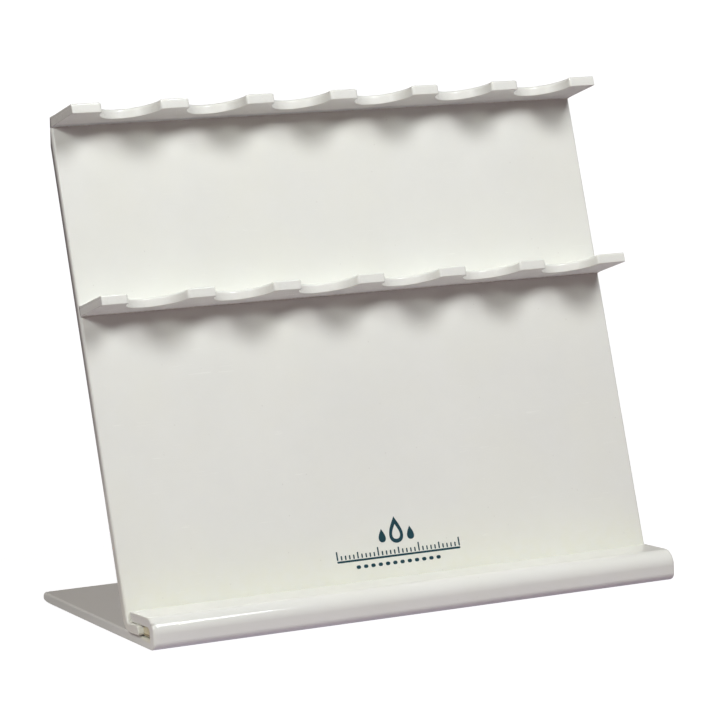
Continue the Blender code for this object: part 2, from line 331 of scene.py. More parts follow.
def baked(obj):
    """Applies the modifiers and leaves one clean smooth-shaded mesh."""
    bpy.context.view_layer.update()
    deps = bpy.context.evaluated_depsgraph_get()
    mesh = bpy.data.meshes.new_from_object(obj.evaluated_get(deps))
    mesh.transform(obj.matrix_world)
    obj.modifiers.clear()
    old = obj.data
    obj.data = mesh
    obj.matrix_world = Matrix.Identity(4)
    bpy.data.meshes.remove(old)
    tidy(mesh, merge=2e-7)
    mesh.shade_smooth()
    mesh.name = obj.name
    weigh = obj.modifiers.new("flat_faces_stay_flat", "WEIGHTED_NORMAL")
    weigh.mode = "FACE_AREA"
    weigh.weight = 90
    weigh.keep_sharp = False
    return obj


def tidy(mesh, merge):
    bm = bmesh.new()
    bm.from_mesh(mesh)
    bmesh.ops.remove_doubles(bm, verts=bm.verts, dist=merge)
    bmesh.ops.recalc_face_normals(bm, faces=bm.faces)
    bm.to_mesh(mesh)
    bm.free()


def discard(obj):
    mesh = obj.data
    bpy.data.objects.remove(obj, do_unlink=True)
    bpy.data.meshes.remove(mesh)


# ------------------------------------------------------------------ base plate and lip


def base_rule(y, z, inward, last):
    behind = y - FRONT
    if behind > BASE_DEPTH - BASE_CORNER_RUN:
        # the plate's rear corners are rounded in plan
        size = 1.0 if z > SHEET / 2 else 0.5
        share = (behind - BASE_DEPTH + BASE_CORNER_RUN) / BASE_CORNER_RUN
        size += (1.8 - size) * between(share, 0.2, 0.9)
        sideways = min(1.0, abs(inward.x)) * between(share, 0.4, 0.9)
        run = size + (BASE_CORNER_R - size) * sideways
        return -BASE_CORNER_R * share, inward.y * size, run
    over_bend = behind < LIP_TOP_R + 1 and z > LIP_HEIGHT - LIP_TOP_R + 2 + 0.35 * behind
    outside = behind < 0.5 or z > LIP_REAR_HEIGHT - 1.2 or over_bend
    nose = behind < LIP_BOTTOM_R and z < LIP_BOTTOM_R
    if outside or nose:
        # rounder on the lip's front face, and less so at the right end
        forward = 1.0 - between(behind, 1.0, 9.0)
        amount = forward * between(z, 0.0, LIP_BOTTOM_R + 1.5)
        if last:
            amount = 0.55 * amount + 0.12 * forward
        size, run = 0.45 + 1.0 * amount, 0.65 + 1.85 * amount
    elif z < 0.9:
        size, run = 0.45, 0.65
    elif z < SHEET + 0.1 and behind > SHEET + 1.0:
        size = run = 0.95
    else:
        size = run = 0.32
    return inward.x * size, inward.y * size, run


def build_base():
    base = baked(rounded_prism(
        "base_with_folded_lip", base_profile(), BASE_LEFT, BASE_RIGHT, along_x, base_rule
    ))
    # the sheet is not quite flat or square: its rear rises slightly, and its sides
    # shift towards the left by different amounts
    warp_start, rear_rise, left_shift, right_shift = 34.0, 0.65, 0.5, 0.3
    for vertex in base.data.vertices:
        run = (vertex.co.y * 1000 - y_of(warp_start)) / (BASE_DEPTH - warp_start)
        run = min(max(run, 0.0), 1.0)
        vertex.co.z += mm(rear_rise * run ** 1.3)
        if vertex.co.x < mm(-HALF + 20.0):
            vertex.co.x -= mm(left_shift * run)
        else:
            vertex.co.x += mm(right_shift * (1.0 - run))
    return base


# ------------------------------------------------------------------ panel and shelves


def build_trim():
    """The upright cut that trims the panel and the top shelf together."""
    bm = bmesh.new()
    bmesh.ops.create_cube(bm, size=1.0)
    bmesh.ops.scale(bm, vec=(mm(WIDTH + 40), mm(TRIM_DEPTH), mm(90)), verts=bm.verts)
    centre_y = y_of(TRIM_Y) + TRIM_DEPTH / 2
    centre_z = LIP_REAR_HEIGHT + PANEL_LENGTH * COS
    bmesh.ops.translate(bm, vec=(0.0, mm(centre_y), mm(centre_z)), verts=bm.verts)
    return mesh_object("rear_trim", bm)


def panel_rule(y, z, inward, last):
    into_panel = (y - y_of(PANEL_Y)) * COS - (z - LIP_REAR_HEIGHT) * SIN
    front = into_panel < SHEET / 2
    if z > LIP_REAR_HEIGHT + (PANEL_LENGTH - 3.0) * COS:
        # the top edge keeps its height, so that the shelf's joint stays closed
        size = PANEL_FRONT_EDGE_R if front else -PANEL_BACK_EDGE_R
        return size * COS, -size * SIN, abs(size)
    if z > FOOT_TOP + BEND_R:
        size = PANEL_FRONT_EDGE_R if front else PANEL_BACK_EDGE_R
    else:
        size = 0.38 + 0.97 * between(y - FRONT, FOOT_TIP_TOP + 1.5, FOOT_TIP_TOP + 7.0)
        if not inward.y < 0:
            size = min(size, 1.0)
    return inward.x * size, inward.y * size, size


def build_panel(trim):
    panel = rounded_prism(
        "back_panel_with_foot", panel_profile(), -HALF, HALF, along_x, panel_rule
    )
    cut_away(panel, trim)
    return baked(panel)


def shelf_rule(front, rear):
    """Edge rounding of a shelf with its front at front; behind rear it nearly ends."""
    def rule(x, y, inward, upper):
        near_front = 1 - between(y, front + 0.5, front + 2.4)
        if y > rear:
            size = 0.1
        elif abs(abs(x) - HALF) < 0.01:
            size = 0.12 + (0.45 if upper else 0.25) * (1 - between(y, -6.5, -0.8))
        elif upper:
            size = 1.55 - 0.65 * near_front
        else:
            size = 0.30 + 0.12 * near_front
        return inward.x * size, inward.y * size, size

    return rule


def build_shelf(name, projection, shift, length, rear, rounding_rear, trim=None):
    shelf = rounded_prism(
        name, shelf_outline(projection, shift, rear), length, length + SHELF_SHEET,
        standing, shelf_rule(-projection, rounding_rear),
    )
    shelf.matrix_world = ON_PANEL
    if trim:
        cut_away(shelf, trim)
    return baked(shelf)


# ------------------------------------------------------------------ cement


def wobble(x, y, z, size, seed):
    """Smooth noise in -1..1 over size millimetres."""
    return noise.noise(Vector((x / size + seed, y / size - seed, z / size + 2 * seed)))


def divided(outline, spacing):
    points = []
    for i, start in enumerate(outline):
        end = outline[(i + 1) % len(outline)]
        steps = max(1, int(math.dist(start, end) / spacing))
        for k in range(steps):
            points.append((
                start[0] + (end[0] - start[0]) * k / steps,
                start[1] + (end[1] - start[1]) * k / steps,
            ))
    return points


def bead_stations():
    """Places along X: close together at both ends, wide apart between them."""
    left, right = BASE_LEFT + 0.6, BASE_RIGHT - 0.6
    close, wide = 0.35, 3.0
    stations = [left + close * k for k in range(1, 12)]
    x = stations[-1]
    while x < right - 8.0:
        x += wide
        stations.append(x)
    return stations + [right - close * k for k in range(11, 0, -1) if right - close * k > x + 0.2]


def cement_bead():
    """Cement in the channel: a lumpy bead, its ends uneven."""
    outline = divided(cement_profile(), 0.45)
    mid_y = sum(point[0] for point in outline) / len(outline)
    mid_z = sum(point[1] for point in outline) / len(outline)
    stations = bead_stations()
    bm = bmesh.new()
    rings = []
    for x in stations:
        ring = []
        for y, z in outline:
            pull = 0.05 + 0.05 * (1 + wobble(x, y, z, size=1.6, seed=3.1))
            k = 1 - pull / math.hypot(y - mid_y, z - mid_z)
            at = (x, mid_y + (y - mid_y) * k, mid_z + (z - mid_z) * k)
            ring.append(bm.verts.new([mm(c) for c in at]))
        rings.append(ring)
    skin(bm, rings)
    for ring, x, out in ((rings[0], stations[0], -1), (rings[-1], stations[-1], 1)):
        cap = [ring]
        for share in (0.9, 0.75, 0.55, 0.3):
            smaller = []
            for y, z in outline:
                cap_y, cap_z = mid_y + (y - mid_y) * share, mid_z + (z - mid_z) * share
                lump = 0.34 * (1 - share) ** 0.5 * 0.6
                lump += 0.28 * wobble(0, cap_y, cap_z, size=1.3, seed=7.7 + out)
                smaller.append(bm.verts.new((mm(x + out * lump), mm(cap_y), mm(cap_z))))
            skin(bm, [cap[-1], smaller])
            cap.append(smaller)
        bm.faces.new(cap[-1])
    obj = mesh_object("aged_channel_cement", bm)
    obj.data.shade_smooth()
    return obj


def fillet_section(y, z, dy, dz, over):
    """A function giving the fillet's section at x.

    (y, z) is its corner, and dy and dz the way its two legs run; over lengthens
    the leg along Y."""
    def section(x):
        leg = 0.30 + 0.12 * wobble(x, y, z, size=9.0, seed=1.7)
        leg += 0.02 * wobble(x, y, z, size=2.3, seed=5.2)
        out = leg + over
        points = [(y, z), (y + dy * out, z)]
        for i in range(1, 5):
            angle = math.radians(90 * i / 5)
            points.append((
                y + dy * out * (1 - math.sin(angle) * 0.82),
                z + dz * leg * (1 - math.cos(angle) * 0.82),
            ))
        points.append((y, z + dz * leg))
        return points

    return section


def cement_film(name, y0, y1, z0, z1, fillets, over=0.0):
    """A thin sheet in the panel's frame, with fillets (y, z, dy, dz) along X."""
    half = HALF - 0.1
    steps = 150
    sections = [lambda x: [(y0, z0), (y1, z0), (y1, z1), (y0, z1)]]
    sections += [fillet_section(*fillet, over) for fillet in fillets]
    bm = bmesh.new()
    for section in sections:
        rings = []
        for k in range(steps + 1):
            x = -half + 2 * half * k / steps
            rings.append([bm.verts.new((mm(x), mm(y), mm(z))) for y, z in section(x)])
        skin(bm, rings)
        cap_ends(bm, rings)
    obj = mesh_object(name, bm)
    obj.matrix_world = ON_PANEL
    bpy.context.view_layer.update()
    obj.data.transform(obj.matrix_world)
    obj.matrix_world = Matrix.Identity(4)
    obj.data.shade_smooth()
    obj.data.set_sharp_from_angle(angle=math.radians(50))
    return obj


# ------------------------------------------------------------------ printed mark
# Three droplets over a graduated scale, low on the panel's front face.
INK_LOW, INK_HIGH = 0.012, 0.05  # the ink layer's two faces, out from the panel
MARK_X = 4.0
TICKS, TICK_PITCH, TICK_HALF, TICK_FOOT = 31, 2.35, 0.4, 11.35
SCALE_HALF = (TICKS - 1) / 2 * TICK_PITCH
LINE_LOW, LINE_HIGH = 10.0, 11.0
DASHES, DASH_START, DASH_PITCH, DASH_HALF = 12, -24.0, 4.2, 1.25
DASH_LOW, DASH_HIGH = 6.1, 7.9


def printed(name, outlines):
    """Outlines in (x, up the panel) as one thin layer of ink; an outline inside another is a hole."""
    curve = bpy.data.curves.new(name, "CURVE")
    curve.dimensions = "2D"
    curve.fill_mode = "BOTH"
    curve.extrude = mm(INK_HIGH - INK_LOW) / 2
    for outline in outlines:
        spline = curve.splines.new("POLY")
        spline.points.add(len(outline) - 1)
        for point, (x, z) in zip(spline.points, outline):
            point.co = (mm(x), mm(z), 0.0, 1.0)
        spline.use_cyclic_u = True
    drawn = bpy.data.objects.new(name + "_drawn", curve)
    scene.collection.objects.link(drawn)
    bpy.context.view_layer.update()
    deps = bpy.context.evaluated_depsgraph_get()
    mesh = bpy.data.meshes.new_from_object(drawn.evaluated_get(deps))
    bpy.data.objects.remove(drawn, do_unlink=True)
    # the curve's plane (X, Y) becomes the panel's (X, up), its normal the panel's outward face
    layer_y = -mm((INK_LOW + INK_HIGH) / 2)
    to_face = Matrix(((1, 0, 0, 0), (0, 0, -1, layer_y), (0, 1, 0, 0), (0, 0, 0, 1)))
    mesh.transform(ON_PANEL @ to_face)
    tidy(mesh, merge=1e-7)
    mesh.name = name
    obj = bpy.data.objects.new(name, mesh)
    scene.collection.objects.link(obj)
    return obj


def droplet(centre_x, centre_z, size):
    """A droplet of that size, its tip up."""
    steps = 72
    points = []
    for i in range(steps):
        t = 2 * math.pi * i / steps
        x = size * 0.5 * math.sin(t) * math.sin(t / 2) ** 1.35
        points.append((centre_x + x, centre_z + size * 0.62 * math.cos(t)))
    return points


def rounded_bar(x, half, z0, z1):
    """An upright or lying bar centred on x, with rounded corners."""
    x0, x1 = x - half, x + half
    r = min(x1 - x0, z1 - z0) / 2 * 0.98
    corners = ((x1 - r, z0 + r, 270), (x1 - r, z1 - r, 0), (x0 + r, z1 - r, 90), (x0 + r, z0 + r, 180))
    points = []
    for corner_x, corner_z, start in corners:
        points += arc((corner_x, corner_z), r, start, start + 90, 5)
    return points


def tick(i):
    height = 4.6 if i % 10 == 0 else (3.4 if i % 5 == 0 else 2.3)
    x = MARK_X - SCALE_HALF + TICK_PITCH * i
    return rounded_bar(x, TICK_HALF, TICK_FOOT, TICK_FOOT + height)


def dash(i):
    return rounded_bar(MARK_X + DASH_START + DASH_PITCH * i, DASH_HALF, DASH_LOW, DASH_HIGH)


# x from the mark's middle, height up the panel, size; the second is a hole in the first
DROPLETS = ((0.0, 23.6, 11.0), (0.0, 22.6, 6.2), (-8.2, 21.3, 5.6), (8.2, 21.3, 5.6))

# ------------------------------------------------------------------ the pieces
base = build_base()
trim = build_trim()
panel = build_panel(trim)
top = build_shelf(
    "top_notched_shelf", TOP_PROJECTION, TOP_ROW_SHIFT, PANEL_LENGTH,
    rear=TOP_SHELF_REAR, rounding_rear=0.5, trim=trim,
)
discard(trim)
middle = build_shelf(
    "middle_notched_shelf", MIDDLE_PROJECTION, MIDDLE_ROW_SHIFT, MIDDLE_LENGTH,
    rear=-SHELF_GAP, rounding_rear=-0.8,
)
bead = cement_bead()

# the top film lies on the panel's trimmed top edge, the middle one stands on its face
top_edge_depth = (TRIM_Y - (PANEL_Y + PANEL_LENGTH * SIN)) / COS
film_top = cement_film(
    "top_shelf_cement_film", 0.1, top_edge_depth - 0.1,
    PANEL_LENGTH - TOUCH - FILM, PANEL_LENGTH - TOUCH,
    [(-0.02, PANEL_LENGTH - 0.02, -1, -1)],
)
film_middle = cement_film(
    "middle_shelf_cement_film", -TOUCH - FILM, -TOUCH,
    MIDDLE_LENGTH + 0.12, MIDDLE_LENGTH + SHELF_SHEET - 0.12,
    [
        (-0.02, MIDDLE_LENGTH - 0.02, -1, -1),
        (-0.02, MIDDLE_LENGTH + SHELF_SHEET + 0.02, -1, 1),
    ],
    over=0.5,
)
marks = [
    printed("printed_droplet", [droplet(MARK_X + x, z, size) for x, z, size in DROPLETS]),
    printed("printed_scale_ticks", [tick(i) for i in range(TICKS)]),
    printed(
        "printed_scale_line",
        [rounded_bar(MARK_X, SCALE_HALF + TICK_HALF, LINE_LOW, LINE_HIGH)]
        + [dash(i) for i in range(DASHES)],
    ),
]

# ------------------------------------------------------------------ finishes


class Nodes:
    """A short way to write the node tree of a material or a world."""

    def __init__(self, owner):
        owner.use_nodes = True
        self.tree = owner.node_tree
        self.tree.nodes.clear()

    def add(self, kind, *values, operation=None, **named):
        """A node; values fill its inputs in order, named ones by name (_ for a space)."""
        node = self.tree.nodes.new(kind)
        if operation:
            node.operation = operation
        for i, value in enumerate(values):
            self.put(node.inputs[i], value)
        for name, value in named.items():
            self.put(node.inputs[name.replace("_", " ")], value)
        return node

    def put(self, socket, value):
        if isinstance(value, bpy.types.NodeSocket):
            self.tree.links.new(value, socket)
        elif isinstance(value, bpy.types.Node):
            self.tree.links.new(value.outputs[0], socket)
        else:
            socket.default_value = value

    def maths(self, operation, a, b=0.0):
        return self.add("ShaderNodeMath", a, b, operation=operation).outputs[0]

    def times(self, *values):
        return reduce(lambda a, b: self.maths("MULTIPLY", a, b), values)

    def plus(self, *values, clamp=False):
        """The sum; clamp holds the result to 0..1."""
        total = reduce(lambda a, b: self.maths("ADD", a, b), values)
        total.node.use_clamp = clamp
        return total

    def minus(self, a, b):
        return self.maths("SUBTRACT", a, b)

    def size_of(self, value):
        return self.maths("ABSOLUTE", value)

    def vectors(self, operation, a, b):
        return self.add("ShaderNodeVectorMath", a, b, operation=operation)

    def scaled(self, vector, factor):
        node = self.add("ShaderNodeVectorMath", vector, operation="SCALE", Scale=factor)
        return node.outputs[0]

    def mix(self, factor, a, b):
        node = self.tree.nodes.new("ShaderNodeMix")
        node.data_type = "RGBA"
        self.put(node.inputs["Factor"], factor)
        for socket, value in zip([s for s in node.inputs if s.type == "RGBA"], (a, b)):
            self.put(socket, value)
        return [s for s in node.outputs if s.type == "RGBA"][0]

    def ramp(self, value, span, to=(0.0, 1.0)):
        """Smoothly from to[0] at span[0] to to[1] at span[1]."""
        node = self.add(
            "ShaderNodeMapRange", Value=value,
            From_Min=span[0], From_Max=span[1], To_Min=to[0], To_Max=to[1],
        )
        node.interpolation_type = "SMOOTHSTEP"
        return node.outputs["Result"]

    def fade(self, value, span, peak=1.0):
        return self.ramp(value, span, to=(peak, 0.0))

    def band(self, value, rise, fall):
        """1 between the two spans, 0 outside them."""
        return self.times(self.ramp(value, rise), self.fade(value, fall))

    def noise(self, coords, per_mm, detail=2.0, roughness=0.5, seed=0.0):
        moved = self.vectors("ADD", coords, (seed, seed * 1.7, -seed))
        return self.add(
            "ShaderNodeTexNoise",
            Vector=moved, Scale=per_mm, Detail=detail, Roughness=roughness,
        ).outputs[0]

    def cells(self, coords, per_mm, seed=0.0):
        moved = self.vectors("ADD", coords, (seed, -seed, seed * 0.6))
        node = self.add("ShaderNodeTexVoronoi", Vector=moved, Scale=per_mm)
        return node.outputs["Distance"]

    def coords(self):
        """Object coordinates in millimetres."""
        return self.scaled(self.add("ShaderNodeTexCoord").outputs["Object"], 1000.0)

    def split(self, vector):
        return self.add("ShaderNodeSeparateXYZ", Vector=vector).outputs

    def finish(self, height, bump_strength=1.0, **inputs):
        """The principled surface, with its relief in millimetres, and the output."""
        bump = self.add(
            "ShaderNodeBump", Strength=bump_strength, Distance=0.001, Height=height
        )
        shader = self.add("ShaderNodeBsdfPrincipled", Normal=bump, **inputs)
        self.add("ShaderNodeOutputMaterial", Surface=shader)


def rgb(r, g, b):
    return (r, g, b, 1.0)


def tinted(colour, r, g, b):
    return rgb(colour[0] * r, colour[1] * g, colour[2] * b)


WHITE = rgb(0.845, 0.850, 0.795)
BASE_WHITE = rgb(0.822, 0.826, 0.775)
DUST = rgb(0.30, 0.27, 0.22)
# the next colour is also painted shade on the shelves' left cut ends
SOIL_AND_SHADE = rgb(0.36, 0.33, 0.29)
INK = rgb(0.0035, 0.044, 0.060)
INK_WORN = rgb(0.45, 0.50, 0.48)
BUBBLE = rgb(0.88, 0.84, 0.66)
CEMENT_STAIN = rgb(0.34, 0.24, 0.10)
CEMENT_AT_FOLD = rgb(0.46, 0.37, 0.19)
# the next colour paints a shadow line along the channel cement
GAP_SHADOW = rgb(0.22, 0.15, 0.07)


def drifting_white(n, co, colour, seed):
    """The sheet's white, with broad, middling and fine drift and a warmer cloud."""
    broad = n.noise(co, per_mm=1 / 70, seed=seed)
    mottled = n.noise(co, per_mm=1 / 9, detail=3.0, roughness=0.55, seed=seed + 4)
    grain = n.noise(co, per_mm=2.2, seed=seed + 9)
    value = n.plus(
        n.ramp(broad, span=(0.25, 0.75), to=(-0.014, 0.014)),
        n.ramp(mottled, span=(0.25, 0.75), to=(-0.006, 0.006)),
        n.ramp(grain, span=(0.2, 0.8), to=(-0.004, 0.004)),
        1.0,
    )
    shade = n.scaled(colour[:3], value)
    cloud = n.ramp(n.noise(co, per_mm=1 / 45, seed=seed + 21), span=(0.4, 0.72), to=(0.0, 0.35))
    return n.mix(cloud, shade, tinted(colour, 1.0, 0.995, 0.955))


def specks(n, co, seed, wear):
    """Specks of dust and smaller pin marks."""
    speck = n.fade(n.cells(co, per_mm=1 / 9.0, seed=seed + 2.0), span=(0.028, 0.050))
    pin = n.fade(n.cells(co, per_mm=1 / 3.4, seed=seed + 5.0), span=(0.018, 0.040))
    return n.plus(n.times(speck, 0.22 * wear), n.times(pin, 0.14 * wear), clamp=True)


def hairs(n, co, angle, per_mm, seed):
    """Hairline scratches: noise drawn out along one direction, in patches."""
    turned = n.add(
        "ShaderNodeMapping", Vector=co,
        Rotation=(0.0, angle, angle * 0.35), Scale=(per_mm / 90, per_mm, per_mm),
    )
    line = n.noise(turned.outputs[0], per_mm=1.0, detail=1.0, seed=seed)
    hit = n.fade(n.size_of(n.minus(line, 0.5)), span=(0.0, 0.006))
    gate = n.ramp(n.noise(co, per_mm=1 / 16, detail=1.0, seed=seed + 3), span=(0.56, 0.66))
    return n.times(hit, gate)


def acrylic(name, colour, roughness, seed, yellow=None, wear=1.0, sheet_wave=0.030,
            fine_peel=0.0016, gloss=0.5, sawn=None, stain=None, underside_glow=None):
    """White cast acrylic sheet: glossy, faintly wavy, with dust, scratches and rub marks.

    yellow, sawn and stain (nodes, parts of the coordinates) may give 0..1 masks of
    where the sheet has aged, where it was cut and left duller, and where it is stained,
    which on a shelf's left cut end is painted shade.
    underside_glow is painted light: an emission on the shelf's underside that brightens it the way
    light passing into the milky sheet from its lit side would.
    through gives the light that soaks through the milky sheet from its lit side."""
    material = bpy.data.materials.new(name)
    n = Nodes(material)
    co = n.coords()
    part = n.split(co)
    shade = drifting_white(n, co, colour, seed)

    if yellow is not None:
        blotch = n.noise(co, per_mm=1 / 6, detail=3.0, roughness=0.6, seed=seed + 13)
        mask = n.times(yellow(n, part), n.ramp(blotch, span=(0.3, 0.7), to=(0.45, 1.0)))
        shade = n.mix(mask, shade, tinted(colour, 0.98, 0.965, 0.80))

    dirt = specks(n, co, seed, wear)
    shade = n.mix(dirt, shade, DUST)

    scratch = n.plus(
        hairs(n, co, angle=0.35, per_mm=0.55, seed=seed + 30),
        hairs(n, co, angle=-0.9, per_mm=0.42, seed=seed + 41),
        clamp=True,
    )
    rub = n.noise(co, per_mm=1 / 22, detail=3.0, roughness=0.6, seed=seed + 50)
    rough = n.plus(
        roughness,
        n.times(n.ramp(rub, span=(0.42, 0.74)), 0.07 * wear),
        n.times(scratch, 0.16 * wear),
        n.times(dirt, 0.8),
        clamp=True,
    )

    edge = None
    if sawn is not None:
        edge = sawn(n, part)
        blur = n.noise(co, per_mm=1 / 1.6, detail=3.0, roughness=0.6, seed=seed + 80)
        blur = n.ramp(blur, span=(0.3, 0.7), to=(0.12, 0.22))
        rough = n.plus(rough, n.times(edge, blur), clamp=True)
        shade = n.mix(n.times(edge, 0.6), shade, tinted(colour, 0.92, 0.92, 0.92))
    # stain marks are a real brown speck on the base, and painted shade on the shelves' left cut ends
    if stain is not None:
        smear = n.noise(co, per_mm=1 / 1.3, detail=4.0, roughness=0.65, seed=seed + 90)
        stain_and_painted_shade = n.times(stain(n, part), n.ramp(smear, span=(0.25, 0.75), to=(0.55, 1.0)))
        shade = n.mix(stain_and_painted_shade, shade, SOIL_AND_SHADE)
        rough = n.plus(rough, n.times(stain_and_painted_shade, 0.25), clamp=True)

    # relief: the slow wave of cast sheet, a fine orange peel, scratches and specks
    wave = n.times(n.noise(co, per_mm=1 / 32, detail=1.0, seed=seed + 60), sheet_wave)
    peel = n.times(n.noise(co, per_mm=1 / 2.6, seed=seed + 70), fine_peel)
    height = n.minus(n.plus(wave, peel), n.times(scratch, 0.0016 * wear))
    height = n.plus(height, n.times(dirt, 0.012))
    if edge is not None:
        chatter = n.noise(co, per_mm=1 / 1.1, seed=seed + 85)
        height = n.plus(height, n.times(chatter, 0.016, edge))
        gloss = n.ramp(edge, span=(0.0, 1.0), to=(gloss + 0.2, 0.22))

    glow = {}
    if underside_glow is not None:
        # painted light: only the shelf's underside glows, and only faintly, with no lamp behind it
        normal = n.add("ShaderNodeNewGeometry").outputs["Normal"]
        facing_down = n.vectors("DOT_PRODUCT", normal, (0.0, -SIN, -COS)).outputs["Value"]
        below = n.ramp(facing_down, span=(0.90, 0.99))
        cloudy = n.noise(co, per_mm=1 / 8, seed=seed + 95)
        cloudy = n.ramp(cloudy, span=(0.3, 0.7), to=(0.92, 1.08))
        glow = {"Emission_Color": rgb(*underside_glow), "Emission_Strength": n.times(below, cloudy)}
    n.finish(
        height, Base_Color=shade, Roughness=rough, IOR=1.49, Subsurface_Weight=0.06,
        Subsurface_Radius=(1.0, 0.95, 0.8), Subsurface_Scale=0.0022,
        Specular_IOR_Level=gloss, **glow,
    )
    material.diffuse_color = colour
    return material


# Masks; part holds the X, Y and Z coordinates in millimetres.


def near_lip(n, part):
    """Ageing on the panel: strongest at the lip, fading upwards."""
    return n.fade(part[2], span=(15.0, 48.0), peak=0.36)


def at_lip_end(n, part):
    """Ageing on the base's left end: inside the channel, and along the lip's top."""
    end = n.fade(part[0], span=(BASE_LEFT + 0.6, BASE_LEFT + 3.0))
    low = n.band(part[2], rise=(2.6, 4.2), fall=(5.2, 7.0))
    deep = n.band(part[1], rise=(FRONT + 3.0, FRONT + 5.5), fall=(FRONT + 12.0, FRONT + 18.0))
    inside = n.times(low, deep, end)
    lip_top = n.ramp(part[2], span=(13.5, 15.0), to=(0.0, 0.16))
    return n.plus(inside, n.times(lip_top, end), clamp=True)


def lip_speck(n, part):
    """A brown speck on the fold's upper corner, at its left end."""
    end = n.fade(part[0], span=(BASE_LEFT + 0.9, BASE_LEFT + 2.2))
    off_y = n.size_of(n.minus(part[1], FRONT + 2.7))
    off_z = n.size_of(n.minus(part[2], 12.8))
    return n.times(
        n.fade(off_y, span=(0.4, 1.2), peak=0.62), n.fade(off_z, span=(0.2, 0.9)), end
    )


def cut_walls(length):
    """The sawn walls of a shelf, between its polished rims."""
    def mask(n, part):
        # height above the shelf's underside, square to the sheet
        from_y = n.times(n.minus(part[1], y_of(PANEL_Y)), SIN)
        from_z = n.times(n.minus(part[2], LIP_REAR_HEIGHT), COS)
        height = n.minus(n.plus(from_y, from_z), length)
        return n.band(height, rise=(0.15, 0.5), fall=(SHELF_SHEET - 1.8, SHELF_SHEET - 1.0))

    return mask


def shaded_left_end(amount):
    """Painted shade: the left cut end face of a shelf made darker, by the given amount."""
    return lambda n, part: n.fade(part[0], span=(-HALF + 0.10, -HALF + 0.35), peak=amount)


def cement_finish(name, colour, deep, roughness, seed, lumps=1.0, line=None):
    """Hardened solvent cement: yellowed, cloudy, full of small bubbles.

    line is the height of a dark line painted along it as the shadow of the gap just above the plate."""
    material = bpy.data.materials.new(name)
    n = Nodes(material)
    co = n.coords()
    cloud = n.noise(co, per_mm=1 / 1.9, detail=4.0, roughness=0.6, seed=seed)
    cloud = n.ramp(cloud, span=(0.3, 0.7))
    shade = n.mix(cloud, colour, deep)
    bubble = n.fade(n.cells(co, per_mm=1 / 0.7, seed=seed + 3), span=(0.12, 0.24))
    shade = n.mix(n.times(bubble, 0.35), shade, BUBBLE)
    stain = n.noise(co, per_mm=1 / 0.9, detail=3.0, seed=seed + 8)
    shade = n.mix(n.times(n.ramp(stain, span=(0.58, 0.74)), 0.5), shade, CEMENT_STAIN)
    if line is not None:
        part = n.split(co)
        # browner where it meets the fold
        at_fold = n.fade(part[1], span=(FRONT + 5.2, FRONT + 8.6), peak=0.55)
        shade = n.mix(at_fold, shade, CEMENT_AT_FOLD)
        # painted shadow: a dark line along the gap just above the plate
        drift = n.noise(co, per_mm=1 / 2.2, seed=seed + 11)
        level = n.plus(part[2], n.ramp(drift, span=(0.3, 0.7), to=(-0.2, 0.2)))
        gap_shadow = n.band(level, rise=(line - 0.5, line - 0.15), fall=(line + 0.15, line + 0.55))
        shade = n.mix(n.times(gap_shadow, 0.75), shade, GAP_SHADOW)
    lump = n.noise(co, per_mm=1 / 0.8, detail=3.0, seed=seed + 5)
    n.finish(
        n.plus(n.times(lump, 0.10 * lumps), n.times(bubble, 0.03 * lumps)),
        Base_Color=shade,
        Roughness=n.ramp(cloud, span=(0.0, 1.0), to=(roughness, roughness + 0.2)),
        IOR=1.47, Subsurface_Weight=0.2,
        Subsurface_Radius=(1.0, 0.7, 0.35), Subsurface_Scale=0.0012,
    )
    return material


def ink_finish(name, colour):
    """Screen-printed ink: satin, with a fine mesh grain and a little wear."""
    material = bpy.data.materials.new(name)
    n = Nodes(material)
    co = n.coords()
    tone = n.ramp(n.noise(co, per_mm=1 / 3.0, detail=3.0, seed=2.0), span=(0.3, 0.7))
    lighter = rgb(colour[0] * 1.6 + 0.004, colour[1] * 1.25, colour[2] * 1.25)
    shade = n.mix(tone, colour, lighter)
    mesh_grain = n.cells(co, per_mm=1 / 0.16, seed=1.0)
    worn = n.ramp(n.noise(co, per_mm=1 / 0.5, detail=3.0, seed=6.0), span=(0.66, 0.78))
    shade = n.mix(n.times(worn, 0.30), shade, INK_WORN)
    n.finish(
        n.times(mesh_grain, 0.004), bump_strength=0.6,
        Base_Color=shade, Roughness=0.38, IOR=1.5,
    )
    return material


panel_white = acrylic("acrylic_panel", WHITE, roughness=0.16, seed=1.0, yellow=near_lip)
base_white = acrylic(
    "acrylic_base", BASE_WHITE, roughness=0.05, seed=2.3, yellow=at_lip_end, wear=0.6,
    sheet_wave=0.004, fine_peel=0.0006, gloss=0.36, stain=lip_speck,
)
# the last values of each shelf give its underside a painted glow
top_white = acrylic(
    "acrylic_top_shelf", WHITE, roughness=0.12, seed=3.7, sawn=cut_walls(PANEL_LENGTH),
    # here and below, the left cut end is painted darker as shade, more on the top shelf
    stain=shaded_left_end(0.42), underside_glow=(0.050, 0.054, 0.058),
)
middle_white = acrylic(
    "acrylic_middle_shelf", WHITE, roughness=0.12, seed=5.1, sawn=cut_walls(MIDDLE_LENGTH),
    stain=shaded_left_end(0.12), underside_glow=(0.098, 0.100, 0.102),
)
# the aged cement carries a painted shadow line at the given height
old_cement = cement_finish(
    "aged_cement", colour=rgb(0.66, 0.59, 0.36), deep=rgb(0.80, 0.76, 0.56),
    roughness=0.32, seed=1.0, line=6.35,
)
clear_cement = cement_finish(
    "cement_film", colour=rgb(0.80, 0.79, 0.70), deep=rgb(0.84, 0.84, 0.78),
    roughness=0.16, seed=4.0, lumps=0.06,
)
ink = ink_finish("teal_ink", INK)


def dress(obj, material, slot, *nodes):
    obj.data.materials.clear()
    obj.data.materials.append(material)
    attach(obj, "root")
    if nodes:
        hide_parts(*nodes)


